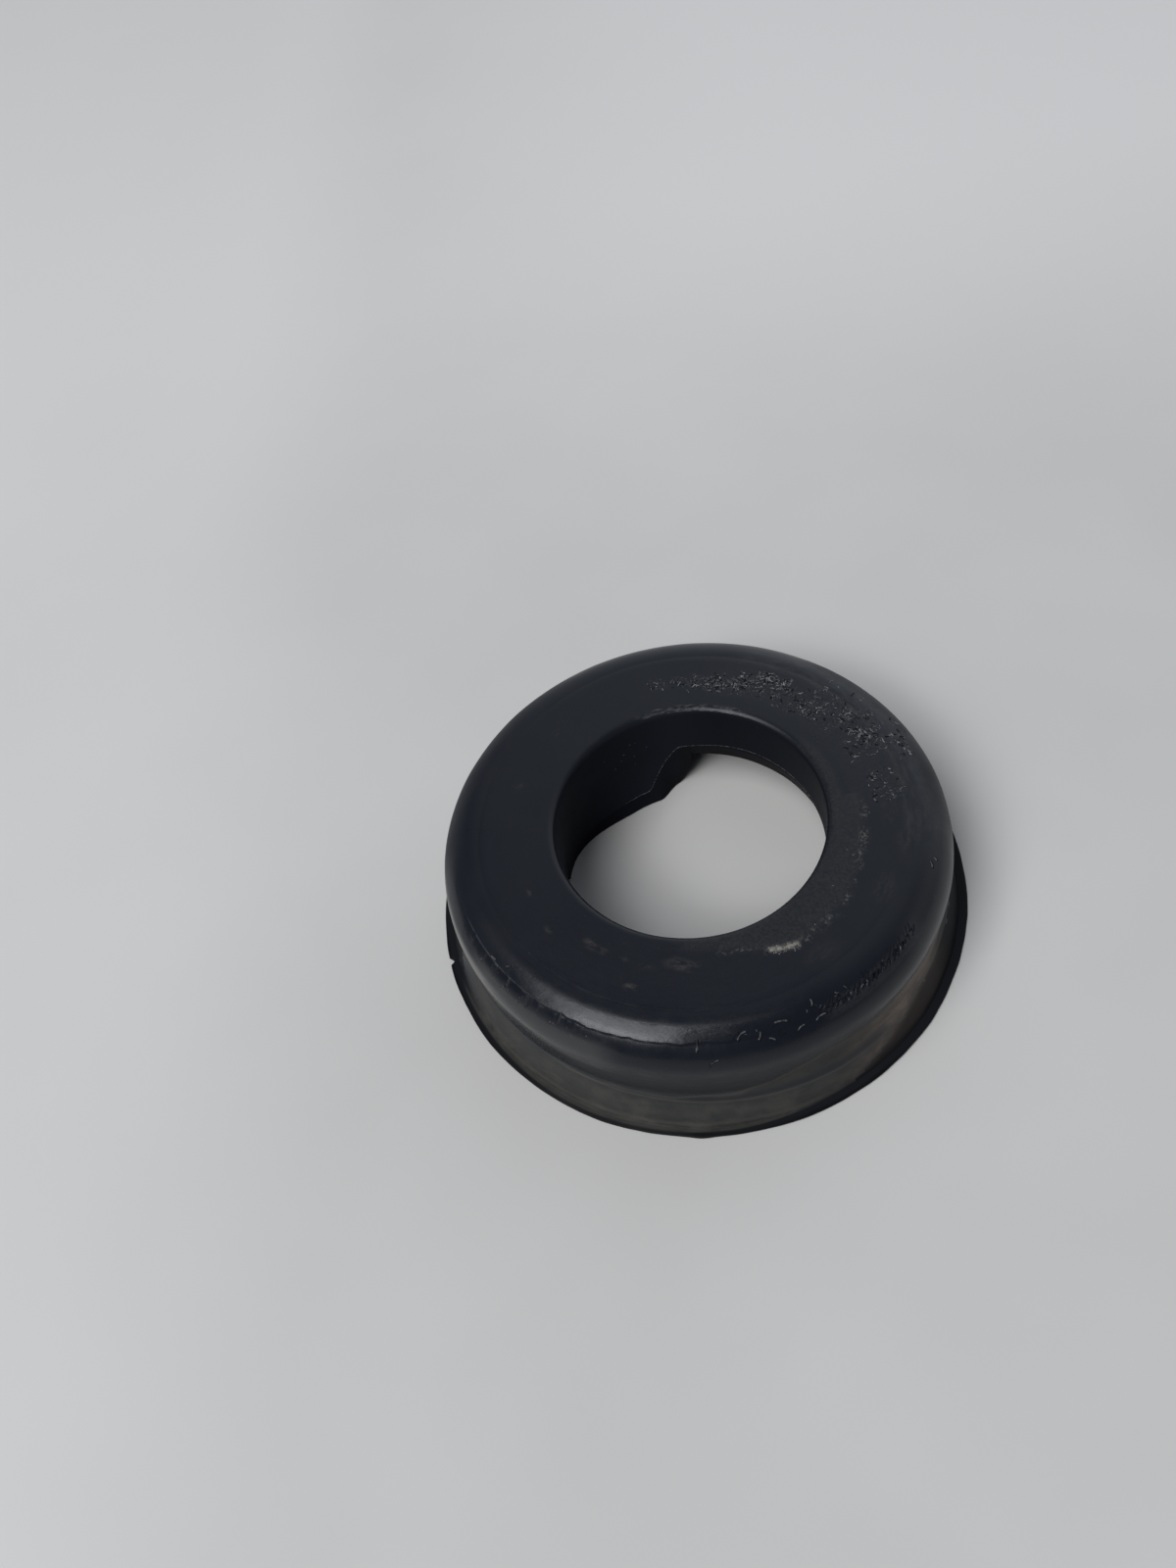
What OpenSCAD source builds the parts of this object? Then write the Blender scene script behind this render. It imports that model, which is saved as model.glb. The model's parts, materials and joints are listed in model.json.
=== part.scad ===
// Coil spring pad: one moulded rubber ring that sits on the end coil of a
// suspension spring. The flat top ring bears on the spring tower, the sleeve
// centres the pad in the tower's hole, and the coil lies in the channel below.
// The origin is the centre of the footprint, on the floor, with +Z up.

/* [Overall size] */
// Diameter over the skirt lip
lip_d = 125; // [119:0.5:155]
// Height from the floor to the top ring
height = 29.6; // [24:0.2:44]
// Largest diameter of the outer wall, just under the shoulder
body_d = 115.2; // [94:0.2:120]
// Diameter of the centre bore
bore_d = 60.8; // [46:0.2:74]

/* [Top ring] */
// Radius of the rounded shoulder between the top ring and the outer wall
shoulder_r = 9.5; // [4:0.5:12]
// Radius of the rounded mouth of the bore
mouth_r = 1.6; // [0.5:0.1:3]
// Thickness of the roof over the coil channel
roof_t = 7; // [4:0.5:10]

/* [Outer wall and skirt] */
// Thickness of the outer wall
wall_t = 3.6; // [2.4:0.1:5]
// Lean of the outer wall, inward on its way down to the skirt
wall_lean = 4; // [0:0.5:8]
// Height at which the line of the wall meets the slope of the skirt
waist_z = 9.8; // [7:0.2:12]
// Radius of the hollow curve between the wall and the skirt
flare_r = 6; // [3:0.5:10]
// Width of the flat lip at the foot of the skirt
lip_w = 1.9; // [1:0.1:3]
// Thickness of the flat lip
lip_t = 0.8; // [0.6:0.1:2]

/* [Sleeve] */
// Thickness of the sleeve, round the bore
sleeve_t = 4.5; // [3:0.1:6]
// Height of the parting line, below which the bore opens out
parting_z = 16; // [12:0.5:17]
// How much wider the bore is at the foot of the sleeve, on the radius
foot_open = 1.2; // [0.4:0.1:2]
// Height of the sleeve's lower edge along its short half
short_z = 10; // [5:0.5:11]
// How much wider the bore is at that edge, on the radius
short_open = 2; // [1.4:0.1:2.6]
// Slope of the bevel above that edge, from upright
short_slope = 20; // [15:1:35]
// Direction in which the short half starts, from +X
short_from = -95; // [-170:5:-20]
// Direction in which the short half ends, from +X
short_to = 85; // [0:5:150]
// Upright length of the step from the short half's edge towards the floor
step_drop = 3.6; // [1:0.1:4]
// Sideways run of the sloped rest of the step
step_run = 3.4; // [1:0.1:8]

/* [Channel] */
// Radius of the rounded corners at the roof of the channel
channel_r = 5; // [2:0.5:6]

/* [Hidden] */

$fn = 180;
// Distance that a cut reaches past the surface it opens
past = 1;

lip_r = lip_d / 2;
body_r = body_d / 2;
bore_r = bore_d / 2;
sleeve_r = bore_r + sleeve_t;
channel_top = height - roof_t;

// Centre of the shoulder's curve, and the point where the wall leaves it
shoulder = [body_r - shoulder_r, height - shoulder_r];
wall_top = shoulder + shoulder_r * [cos(wall_lean), -sin(wall_lean)];

// Corner where the wall's line meets the slope of the skirt, and the slope's foot
corner = [wall_top[0] - (wall_top[1] - waist_z) * tan(wall_lean), waist_z];
toe = [lip_r - lip_w, lip_t];
slope = atan2(toe[0] - corner[0], corner[1] - toe[1]);

// The hollow curve touches the wall and the slope at equal distances from the corner
turn = (wall_lean + slope) / 2;
touch = flare_r * tan(turn);
wall_touch = corner + touch * [sin(wall_lean), cos(wall_lean)];
slope_touch = corner + touch * [sin(slope), -cos(slope)];
flare = wall_touch + flare_r * [cos(wall_lean), -sin(wall_lean)];

// Inner face of the outer wall, at the roof's corner, at the waist and at the foot
channel_r_out = corner[0] - wall_t;
channel_toe_r = toe[0] - lip_t;

// The corners at the roof keep clear of each other in a narrow channel
corner_r = min(channel_r, 0.45 * (channel_r_out - sleeve_r));

module outer_section() {
    // Section of the ring as a solid block, from the bore to the outer surface
    difference() {
        polygon([
            [bore_r, parting_z],
            [bore_r + foot_open, 0],
            [lip_r, 0],
            [lip_r, lip_t],
            toe,
            slope_touch,
            wall_touch,
            wall_top,
            [shoulder[0], wall_top[1]],
            [shoulder[0], height],
            [bore_r + mouth_r, height],
            [bore_r + mouth_r, height - mouth_r],
            [bore_r, height - mouth_r]
        ]);
        translate(flare)
            circle(r = flare_r);
    }
    intersection() {
        translate(shoulder)
            circle(r = shoulder_r);
        translate([shoulder[0], wall_top[1]])
            square([shoulder_r + past, height - wall_top[1] + past]);
    }
    translate([bore_r + mouth_r, height - mouth_r])
        circle(r = mouth_r);
}

module channel_section() {
    // Section of the coil channel: rounded at the roof, opening out to the foot
    translate([sleeve_r + corner_r, channel_top - corner_r])
        circle(r = corner_r);
    translate([channel_r_out - corner_r, channel_top - corner_r])
        circle(r = corner_r);
    polygon([
        [sleeve_r, -past],
        [channel_toe_r, -past],
        [channel_toe_r, 0],
        [channel_r_out, waist_z],
        [channel_r_out, channel_top - corner_r],
        [channel_r_out - corner_r, channel_top - corner_r],
        [channel_r_out - corner_r, channel_top],
        [sleeve_r + corner_r, channel_top],
        [sleeve_r + corner_r, channel_top - corner_r],
        [sleeve_r, channel_top - corner_r]
    ]);
}

module short_half_section() {
    // Section cut away along the short half, with the slope that bevels its edge
    polygon([
        [bore_r - past, -past],
        [sleeve_r + past, -past],
        [sleeve_r + past, short_z],
        [bore_r + short_open, short_z],
        [bore_r - past, short_z + (short_open + past) / tan(short_slope)]
    ]);
}

module short_half_cut() {
    rotate([0, 0, short_from])
        rotate_extrude(angle = short_to - short_from)
            short_half_section();
}

module step_cut(direction, side) {
    // Sloped foot of the step at one end of the short half
    rotate([0, 0, direction])
        translate([bore_r - past, 0, 0])
            rotate([90, 0, 90])
                linear_extrude(height = sleeve_t + 2 * past)
                    polygon([
                        [-side * past, -past],
                        [-side * past, short_z - step_drop],
                        [0, short_z - step_drop],
                        [side * step_run, 0],
                        [side * step_run, -past]
                    ]);
}

module ring() {
    rotate_extrude()
        difference() {
            outer_section();
            channel_section();
        }
}

module spring_pad() {
    color([0.13, 0.14, 0.16])
        difference() {
            ring();
            short_half_cut();
            step_cut(short_to, 1);
            step_cut(short_from, -1);
        }
}

spring_pad();
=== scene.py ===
# %% [markdown]
# # A coil spring pad in moulded rubber
#
# A coil spring pad is the rubber ring between a car's suspension spring and the body. The flat
# top ring bears on the spring tower, a sleeve hangs down round the bore, the end coil lies in
# the channel under the top, and a thin skirt flares out to the foot. It is one moulding, so
# there is one visible piece here. The work is in its section, its finish and its wear.
#
# The imported model is the fixed frame: it gives the real size.

# %% The imported model
import json
import math

import bmesh
import bpy
from mathutils import Matrix, Vector


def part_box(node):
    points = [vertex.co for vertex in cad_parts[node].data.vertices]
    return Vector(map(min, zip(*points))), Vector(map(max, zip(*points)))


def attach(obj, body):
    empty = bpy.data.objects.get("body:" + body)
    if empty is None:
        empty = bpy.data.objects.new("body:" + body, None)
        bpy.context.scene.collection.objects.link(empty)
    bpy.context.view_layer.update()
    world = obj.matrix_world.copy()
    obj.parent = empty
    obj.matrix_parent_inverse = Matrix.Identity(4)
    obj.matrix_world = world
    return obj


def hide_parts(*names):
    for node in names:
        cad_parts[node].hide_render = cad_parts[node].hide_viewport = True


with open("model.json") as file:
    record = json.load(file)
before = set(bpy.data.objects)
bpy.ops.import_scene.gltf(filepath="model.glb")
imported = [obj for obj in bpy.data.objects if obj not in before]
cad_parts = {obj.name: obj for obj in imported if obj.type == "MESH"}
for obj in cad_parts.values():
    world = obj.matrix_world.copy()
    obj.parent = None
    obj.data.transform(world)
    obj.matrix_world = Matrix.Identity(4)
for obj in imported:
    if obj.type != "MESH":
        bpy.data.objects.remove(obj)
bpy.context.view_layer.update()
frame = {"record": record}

mounts = {mount["name"]: mount for mount in frame["record"]["mounts"]}

# %% [markdown]
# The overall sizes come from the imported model: the lip and the height from its box, the bore
# and the channel's roof from its mounts. The rest are the moulding's own sizes. A millimetre
# is one unit here, and `MM` turns it into Blender's metres.

# %% Sizes
MM = 0.001
pad_low, pad_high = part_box("spring_pad")
lip_r = (pad_high.x - pad_low.x) / 2 / MM
height = pad_high.z / MM
bore_r = mounts["centre_bore"]["dims"]["r_mm"]
roof_z = mounts["coil_seat"]["pos_m"][2] / MM

body_r = 57.6  # largest radius of the outer wall, just under the shoulder
shoulder_r = 9.5
mouth_r = 1.6
crease_r = 47.3  # the fine step where the flat top ends
crease_drop = 0.055
ridge_tilt = 35.5  # where the smooth shoulder ends, in degrees from the top of its curve
band_tilt = 64.0  # lower edge of the rough band that starts there
band_inset = 0.24  # depth of the band
ridge_rise = 0.03  # height of the ridge above the shoulder
wall_lean = 4.0
waist_z = 9.8
flare_r = 6.0
wall_t = 3.6
lip_w = 1.9
lip_t = 0.8
edge_r = 0.3  # rounding of the lip's corners and of the sleeve's edges
sleeve_t = 4.5
parting_z = 16.0
foot_open = 1.2
short_z = 10.0
short_open = 2.0
short_middle = -5.0  # direction in which the sleeve's short half is centred, from +X
channel_r = 5.0
sleeve_r = bore_r + sleeve_t
shoulder = (body_r - shoulder_r, height - shoulder_r)  # centre of the shoulder's curve, r and z
lean = math.radians(wall_lean)
wall_top = (shoulder[0] + shoulder_r * math.cos(lean), shoulder[1] - shoulder_r * math.sin(lean))
corner_r = wall_top[0] - (wall_top[1] - waist_z) * math.tan(lean)
channel_out = corner_r - wall_t
toe = (lip_r - lip_w, lip_t)
print(f"lip {lip_r:.2f}, height {height:.2f}, bore {bore_r:.2f}, channel roof {roof_z:.2f} mm")

# %% [markdown]
# ## Camera
#
# The camera looks down at the pad from a hand's height, tipped a little to one side, with a
# wide lens close by. Its distance is counted in lip radii, so it follows the object's size. A
# camera looks along its own -Z with +Y up, so its turn is built from the direction of view
# and then rolled about it.

# %% Camera
view_distance = 4.6044 * lip_r
view_elevation = math.radians(58.16)
aim_point = Vector((-0.3994, 0.5619, 0.0)) * lip_r
view_roll = math.radians(13.8)

camera_data = bpy.data.cameras.new("camera")
camera_data.lens = 27
camera_data.sensor_width = 36
camera_data.dof.use_dof = False
camera_data.clip_start, camera_data.clip_end = 0.01, 50
camera = bpy.data.objects.new("camera", camera_data)
bpy.context.scene.collection.objects.link(camera)
bpy.context.scene.camera = camera
stand = Vector((0, -math.cos(view_elevation), math.sin(view_elevation))) * view_distance
forward = (aim_point - stand).normalized()
level = forward.to_track_quat("-Z", "Y").to_matrix()
camera.matrix_world = (
    Matrix.Translation(stand * MM) @ (level @ Matrix.Rotation(-view_roll, 3, "Z")).to_4x4()
)
print("camera at, mm:", [round(v, 1) for v in stand])

# %% [markdown]
# ## A rule written as a formula
#
# Both geometry trees and shader trees do sums with Math nodes, one node for each plus or
# times. `Field` wraps the socket that a number comes from, so that a rule such as "lift the
# edge by so much along this half" can be written as a formula, and the nodes are added for it.

# %% Fields
def plug(tree, value, socket):
    """Fill a socket with a constant, or link it to a Field or to another socket."""
    if isinstance(value, Field):
        value = value.socket
    if isinstance(value, bpy.types.NodeSocket):
        tree.links.new(value, socket)
    elif socket.type == "RGBA" and len(value) == 3:
        socket.default_value = (*value, 1.0)
    else:
        socket.default_value = value


def add_node(tree, kind, inputs=None, **settings):
    node = tree.nodes.new(kind)
    for name, value in settings.items():
        setattr(node, name, value)
    for name, value in (inputs or {}).items():
        plug(tree, value, node.inputs[name])
    return node


class Field:
    """A number that changes over a surface, inside one node tree."""

    def __init__(self, tree, socket):
        self.tree = tree
        self.socket = socket

    def math(self, operation, *others):
        node = self.tree.nodes.new("ShaderNodeMath")
        node.operation = operation
        for socket, value in zip(node.inputs, (self, *others)):
            plug(self.tree, value, socket)
        return Field(self.tree, node.outputs[0])

    def __add__(self, other):
        return self.math("ADD", other)

    def __sub__(self, other):
        return self.math("SUBTRACT", other)

    def __mul__(self, other):
        return self.math("MULTIPLY", other)

    def __truediv__(self, other):
        return self.math("DIVIDE", other)

    def __rsub__(self, other):
        return self * -1.0 + other

    def __rtruediv__(self, other):
        return self.math("POWER", -1.0) * other

    __radd__ = __add__
    __rmul__ = __mul__

    def ramp(self, start, end, low=0.0, high=1.0, smooth=True):
        """Rise from low at start to high at end, and stay there on both sides."""
        kind = "SMOOTHSTEP" if smooth else "LINEAR"
        node = add_node(self.tree, "ShaderNodeMapRange", interpolation_type=kind)
        for socket, value in zip(node.inputs, (self, start, end, low, high)):
            plug(self.tree, value, socket)
        return Field(self.tree, node.outputs[0])

    def window(self, start, end, soft):
        """1 between start and end, falling smoothly to 0 over the soft width outside them."""
        return self.ramp(start - soft, start) * self.ramp(end, end + soft, 1.0, 0.0)

    def turned_from(self, direction):
        """Degrees from that direction, between -180 and 180."""
        return (self - direction).math("WRAP", 180.0, -180.0)

    def peak(self, width):
        """1 at zero, falling off like a bell of that width."""
        return (self / width).math("POWER", 2.0).math("MULTIPLY", -1.0).math("EXPONENT")


def noise(tree, vector, scale, detail=2.0, roughness=0.5):
    """Soft noise from 0 to 1."""
    sizes = {"Vector": vector, "Scale": scale, "Detail": detail, "Roughness": roughness}
    node = add_node(tree, "ShaderNodeTexNoise", sizes)
    return Field(tree, node.outputs["Factor" if "Factor" in node.outputs else "Fac"])


def vector_of(tree, x, y, z):
    return add_node(tree, "ShaderNodeCombineXYZ", {"X": x, "Y": y, "Z": z}).outputs[0]


def lay_out(tree):
    """Place the nodes in columns, each to the right of what feeds it."""
    column = {node.name: 0 for node in tree.nodes}
    links = [(link.from_node.name, link.to_node.name) for link in tree.links]
    moved = True
    while moved:
        moved = False
        for feeder, fed in links:
            if column[fed] <= column[feeder]:
                column[fed] = column[feeder] + 1
                moved = True
    rows = {}
    for node in tree.nodes:
        place = column[node.name]
        rows[place] = rows.get(place, 0) + 1
        node.location = (190 * place, -170 * rows[place])


# %% [markdown]
# ## Where on the ring
#
# Nearly every mark on this pad sits at some direction round the bore, some distance from it
# and some height: scuffs on the top, dust low on the wall, a chalky arc by the bore. One
# shader group turns Object coordinates into those three numbers, so that each material can say
# where a mark lies in plain degrees and millimetres. Object coordinates are used because they
# stay with the rubber when the pad is moved.

# %% Ring place group
NUMBER, VECTOR, COLOUR = "NodeSocketFloat", "NodeSocketVector", "NodeSocketColor"


def shader_group(name, inputs, outputs):
    """A shader node group: its tree, its inputs as Fields and its output sockets by name."""
    group = bpy.data.node_groups.new(name, "ShaderNodeTree")
    for label, value in inputs.items():
        kind = VECTOR if isinstance(value, tuple) else NUMBER
        group.interface.new_socket(label, in_out="INPUT", socket_type=kind).default_value = value
    for label, kind in outputs.items():
        group.interface.new_socket(label, in_out="OUTPUT", socket_type=kind)
    entry = group.nodes.new("NodeGroupInput")
    result = group.nodes.new("NodeGroupOutput")
    return group, {label: Field(group, entry.outputs[label]) for label in inputs}, result.inputs


def fill(title, tree, sockets, values):
    """Fill the last node's sockets by name, place the nodes and say how many there are."""
    for label, value in values.items():
        plug(tree, value, sockets[label])
    lay_out(tree)
    print(f"{title}: {len(tree.nodes)} nodes")


def split(tree, vector):
    """The x, y and z of a vector as Fields."""
    outputs = add_node(tree, "ShaderNodeSeparateXYZ", {"Vector": vector}).outputs
    return [Field(tree, socket) for socket in outputs]


def scaled(tree, vector, factor):
    node = add_node(tree, "ShaderNodeVectorMath", operation="SCALE")
    plug(tree, vector, node.inputs["Vector"])
    plug(tree, factor, node.inputs["Scale"])
    return node.outputs[0]


def azimuth_of(x, y):
    """Direction round the bore, in degrees from +X."""
    return y.math("ARCTAN2", x).math("DEGREES").math("WRAP", 360.0, 0.0)


group, given, results = shader_group(
    "ring_place",
    {"Position": (0.0, 0.0, 0.0)},
    {"Azimuth": NUMBER, "Radius": NUMBER, "Height": NUMBER, "Millimetres": VECTOR, "Round": VECTOR},
)
place_group = group
in_mm = scaled(group, given["Position"], 1 / MM)
x, y, z = split(group, in_mm)
radius = (x * x + y * y).math("SQRT")
slow = 12.0  # the last output draws noise out along the ring: slow round it, quick across it
drawn_out = vector_of(group, x / radius * slow, y / radius * slow, radius + z)
fill("ring place group", group, results, {
    "Azimuth": azimuth_of(x, y), "Radius": radius, "Height": z, "Millimetres": in_mm,
    "Round": drawn_out,
})

# %% [markdown]
# Some places are needed both by a material and by a geometry tree, so they are functions of
# the direction, which give a Field in whichever tree asks.

# %% Shared places
BRIGHT_CHALK = (289.5, 297.5)  # the directions between which the chalky arc is bright


def chalk_radius(azimuth):
    """Distance from the bore's axis of the chalky arc, which drifts outwards along its length."""
    return azimuth.ramp(272, 298, 34.3, 39.9, smooth=False) - azimuth.ramp(305, 358, 0.0, 2.0)


def parting_height(azimuth):
    """Height of the line where the two halves of the mould met, which dips at the free corner."""
    past_corner = (azimuth - 91.0).math("SMOOTH_MAX", 0.0, 3.0)
    line = parting_z + azimuth.ramp(84, 58, 0.0, 0.8, smooth=False) - past_corner * 0.76
    return line.math("SMOOTH_MAX", 3.6, 2.0)


def film_bottom(azimuth):
    """Lower limit of the dusty film on the outside: the lip, then climbing away from it."""
    start = azimuth.ramp(272, 300, -1.2, 1.8, smooth=False)
    return start + azimuth.ramp(297, 319, 0.0, 6.0, smooth=False)


def rib_gaps(azimuth):
    """1 at each of the narrow gaps that part the rough band into blocks."""
    # two waves out of step make the blocks unequal, and a third makes some gaps shallower
    uneven = (azimuth * 0.83).math("SINE") * 0.8 + (azimuth * 2.3).math("SINE") * 0.3
    gaps = (azimuth + uneven - 219.5).math("WRAP", 2.45, -2.45).peak(0.5)
    return gaps * azimuth.window(206, 239, 2) * ((azimuth * 1.7).math("SINE") * 0.35 + 0.65)


def shoulder_tilt(radius, level):
    """How far down the shoulder's curve a point lies, in degrees from its top."""
    return (radius - shoulder[0]).math("ARCTAN2", level - shoulder[1]).math("DEGREES")


def film_top(azimuth):
    """Upper limit of the film: the hollow over the skirt, then well up the wall."""
    return azimuth.ramp(270, 292, 9.6, 16.5) + azimuth.ramp(300, 318, 0.0, 1.8)


# %% [markdown]
# ## Mould grain
#
# Moulded rubber is never quite smooth. It takes the fine blasted grain of the mould, and it
# shrinks a little unevenly as it cures. The grain group puts out a height in millimetres: a
# fine grain, broad waves, and a few pits where air was trapped. A Bump node in each material
# turns it into a normal.

# %% Mould grain group
group, given, results = shader_group(
    "mould_grain",
    {"Millimetres": (0.0, 0.0, 0.0), "Grain size": 0.35, "Grain depth": 0.006,
     "Wave size": 7.0, "Wave depth": 0.05, "Pit depth": 0.03},
    {"Height": NUMBER, "Pits": NUMBER, "Cloud": NUMBER},
)
grain_group, on_grain = group, given["Millimetres"]
fine = noise(group, on_grain, 1 / given["Grain size"], 3.0, 0.65)
broad = noise(group, on_grain, 1 / given["Wave size"], 1.0)
cells = add_node(group, "ShaderNodeTexVoronoi", {"Vector": on_grain, "Scale": 0.35})
pits = Field(group, cells.outputs["Distance"]).ramp(0.06, 0.12, 1.0, 0.0)
pits = pits * noise(group, on_grain, 0.11, 1.0).ramp(0.56, 0.6)
rise = (fine - 0.5) * given["Grain depth"] + (broad - 0.5) * given["Wave depth"]
fill("mould grain group", group, results, {
    "Height": rise - pits * given["Pit depth"], "Pits": pits,
    "Cloud": noise(group, on_grain, 0.045, 3.0, 0.6),
})

# %% [markdown]
# ## Road film
#
# Dirt has settled on the flared skirt as a grey film, and turns brown where it climbs up the
# wall. It crosses from the satin rubber to the dull rubber of the lip, so it is a group that
# both materials place, and the film runs on over the line where they meet.

# %% Road film group
GREY_FILM = (0.052, 0.050, 0.044)
BROWN_DUST = (0.215, 0.168, 0.130)


def mix_colour(tree, amount, base, over):
    node = add_node(tree, "ShaderNodeMix", data_type="RGBA")
    for socket, value in zip((node.inputs[0], node.inputs[6], node.inputs[7]), (amount, base, over)):
        plug(tree, value, socket)
    return node.outputs[2]


def painted(tree, base, *layers):
    """A base colour under layers, each an amount and a colour, the last one uppermost."""
    for amount, over in layers:
        base = mix_colour(tree, amount, base, over)
    return base


group, given, results = shader_group(
    "road_film",
    {"Azimuth": 0.0, "Height": 0.0, "Streaks": 0.5, "First direction": 207.0, "Softness": 10.0},
    {"Film": NUMBER, "Colour": COLOUR},
)
film_group, azimuth = group, given["Azimuth"]
film = (given["Height"] - film_bottom(azimuth)).ramp(-2.2, azimuth.ramp(295, 312, 1.8, 3.6))
film = film * azimuth.window(given["First direction"], 325, given["Softness"])
fill("road film group", group, results, {
    "Film": film * given["Streaks"].ramp(0.25, 0.7, 0.45, 1.0),
    "Colour": mix_colour(group, azimuth.ramp(292, 318), GREY_FILM, BROWN_DUST),
})

# %% [markdown]
# ## Black rubber
#
# The rubber is black with a cold cast, satin where the mould was polished and duller where
# hands and the car have worn it. Each material knows where on the ring it is and carries the
# mould's grain. A colour is built up as the dirt was, with painted light and shade among the
# layers: a mask of place times a streaky noise, mixed over what lies beneath it, one after the
# other.

# %% Material helpers
def new_material(name):
    """A material with an empty tree but for its Principled BSDF and output."""
    material = bpy.data.materials.new(name)
    material.use_nodes = True
    tree = material.node_tree
    tree.nodes.clear()
    shader = tree.nodes.new("ShaderNodeBsdfPrincipled")
    output = tree.nodes.new("ShaderNodeOutputMaterial")
    tree.links.new(shader.outputs["BSDF"], output.inputs["Surface"])
    return material, tree, shader.inputs


def use_group(tree, group, inputs):
    """Place a group in a tree and give back its outputs: numbers as Fields, others as sockets."""
    node = add_node(tree, "ShaderNodeGroup", inputs, node_tree=group)
    return {
        socket.name: Field(tree, socket) if socket.type == "VALUE" else socket
        for socket in node.outputs
    }


def rubber_material(name, grain_sizes):
    """A material that knows its place on the ring and carries the mould's grain."""
    material, tree, surface = new_material(name)
    coordinates = add_node(tree, "ShaderNodeTexCoord")
    place = use_group(tree, place_group, {"Position": coordinates.outputs["Object"]})
    grain = use_group(tree, grain_group, {"Millimetres": place["Millimetres"], **grain_sizes})
    return material, tree, surface, place, grain


# A lower index of refraction mirrors less. Clean rubber has about 1.5, but a worn skin is too
# finely rough to mirror so much, and the blasted wall of the bore hardly mirrors at all.
SATIN_IOR, DULL_IOR, MATT_IOR = 1.36, 1.17, 1.095
TORN_IOR, CHIP_IOR = 1.5, 1.4


def bumped(tree, rise):
    """A normal from a height in millimetres."""
    return add_node(tree, "ShaderNodeBump", {"Distance": MM, "Height": rise}).outputs["Normal"]


rubber, tree, surface, place, grain = rubber_material("rubber_black", {})
azimuth, radius, level = place["Azimuth"], place["Radius"], place["Height"]
streaks = noise(tree, place["Round"], 0.9, 4.0, 0.65)
specks = noise(tree, place["Millimetres"], 1.6, 3.0, 0.7)
outside_wall = radius.ramp(body_r - 6, body_r - 3)
on_top = level.ramp(height - 1.2, height - 0.6)
print("black rubber has", len(place), "numbers of place and", len(grain), "of grain")

# %% [markdown]
# The top has a worn bloom, inside the chalky arc and over the far side where it was dragged.
# Fingers have left smudges on it. A smudge is a round spot, broken up by noise. There are
# many, so the spot is a small group of its own.

# %% Black rubber: bloom and smudges
BLACK = (0.0064, 0.0081, 0.0122)
BLOOM = (0.0185, 0.0185, 0.0205)
SMUDGE = (0.082, 0.071, 0.064)
# each smudge on the top: its direction, its distance from the axis, its size and its strength
SMUDGES = (
    (135, 41.0, 0.9, 0.25), (159, 41.0, 1.0, 0.3), (202, 39.7, 0.7, 0.4), (217, 41.0, 0.8, 0.25),
    (231, 38.0, 1.3, 0.35), (235.5, 38.0, 0.9, 0.4), (243, 38.2, 1.0, 0.18),
    (248, 43.6, 1.0, 0.45), (259, 36.8, 1.6, 0.22), (263, 37.6, 1.7, 0.28), (250, 38.6, 1.2, 0.2),
    (327, 45.6, 2.6, 0.10), (301, 44.5, 2.8, 0.08), (343, 47.0, 2.0, 0.14), (352, 43.5, 2.2, 0.12),
)

group, given, results = shader_group(
    "smudge",
    {"Azimuth": 0.0, "Radius": 0.0, "Direction": 0.0, "Distance": 40.0, "Size": 1.0},
    {"Mask": NUMBER},
)
turned = given["Azimuth"].turned_from(given["Direction"])
along = turned.math("RADIANS") * given["Radius"] / given["Size"] * 0.6  # wiped out lengthwise
outwards = (given["Radius"] - given["Distance"]) / given["Size"]
spot = (along * along + outwards * outwards).math("SQRT").ramp(0.2, 1.3, 1.0, 0.0)
fill("smudge group", group, results, {"Mask": spot})

from_arc = radius - chalk_radius(azimuth)
inner = from_arc.ramp(-1.5, 0.8, 1.0, 0.0) * azimuth.turned_from(330).window(-62, 52, 14)
dragged = azimuth.turned_from(35).window(-30, 30, 16) * radius.window(37, 47, 3)
bloom = on_top * specks.ramp(0.34, 0.66, 0.35, 1.6) * (inner * 0.6 + dragged * 0.22 + 0.05)
bloom = bloom * grain["Cloud"].ramp(0.2, 0.55, 0.55, 1.0)
smudges = on_top * 0.0
for direction, distance, size, strength in SMUDGES:
    smudge = use_group(tree, group, {
        "Azimuth": azimuth, "Radius": radius, "Direction": direction, "Distance": distance,
        "Size": size,
    })
    smudges = smudges + smudge["Mask"] * strength
stains = noise(tree, place["Round"], 0.8, 3.0, 0.7)
smudges = smudges * on_top * stains.ramp(0.4, 0.6) * specks.ramp(0.3, 0.6, 0.35, 1.15)
layers = [(bloom.math("MINIMUM", 1.0), BLOOM), (smudges, SMUDGE)]
print("smudges on the top:", len(SMUDGES))

# %% [markdown]
# On the outside, the road film ends at a ragged upper edge, with a pale dry rim along it.
# Along the hollow over the skirt the film is thinned to a darker line, painted shade of the
# crease, with a painted highlight line at its foot and another just above the lip. The wall
# that faces the window gets a pale warm colour, a painted sheen of the window's light, and the
# far shoulder a haze.

# %% Black rubber: film, dust, haze and painted light
# pale colour for the film's dry rim and for the painted highlight lines by the hollow and the lip
PALE_RIM_AND_HIGHLIGHT = (0.13, 0.12, 0.10)
HAZE = (0.050, 0.050, 0.052)
# painted sheen: a pale warm colour for the window's light on the wall that faces it
WINDOW_SHEEN = (0.140, 0.137, 0.128)

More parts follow.
